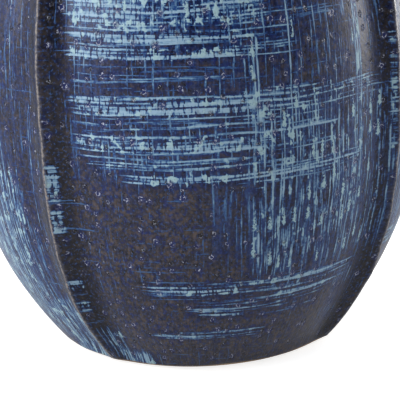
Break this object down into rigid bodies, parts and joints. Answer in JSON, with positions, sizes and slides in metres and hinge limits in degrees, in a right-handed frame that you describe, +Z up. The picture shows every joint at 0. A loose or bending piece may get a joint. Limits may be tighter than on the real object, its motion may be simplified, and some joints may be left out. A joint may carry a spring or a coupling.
{
  "type": "flower vase",
  "caption": "Egg-shaped stoneware flower vase of convex panels between pinched ridges, with a short flared neck, a dark reactive glaze outside and felt pads below.",
  "frame": {"origin": "centre of the vase's footprint, on the surface that the felt pads stand on", "axes": "+Z up along the vase's axis; the middle of the front panel faces -Y, and the four ridges lie on the diagonals between X and Y"},
  "size_m": [0.254, 0.254, 0.381],
  "materials": {
    "bare_stoneware": "matte",
    "outer_glaze": "satin gloss",
    "liner_glaze": "gloss",
    "felt": "felt"
  },
  "bodies": {
    "root": {"stoneware_body": "bare_stoneware", "outer_glaze": "outer_glaze", "liner_glaze": "liner_glaze", "felt_pad_back_right": "felt", "felt_pad_back_left": "felt", "felt_pad_front_left": "felt", "felt_pad_front_right": "felt"}
  },
  "joints": []
}
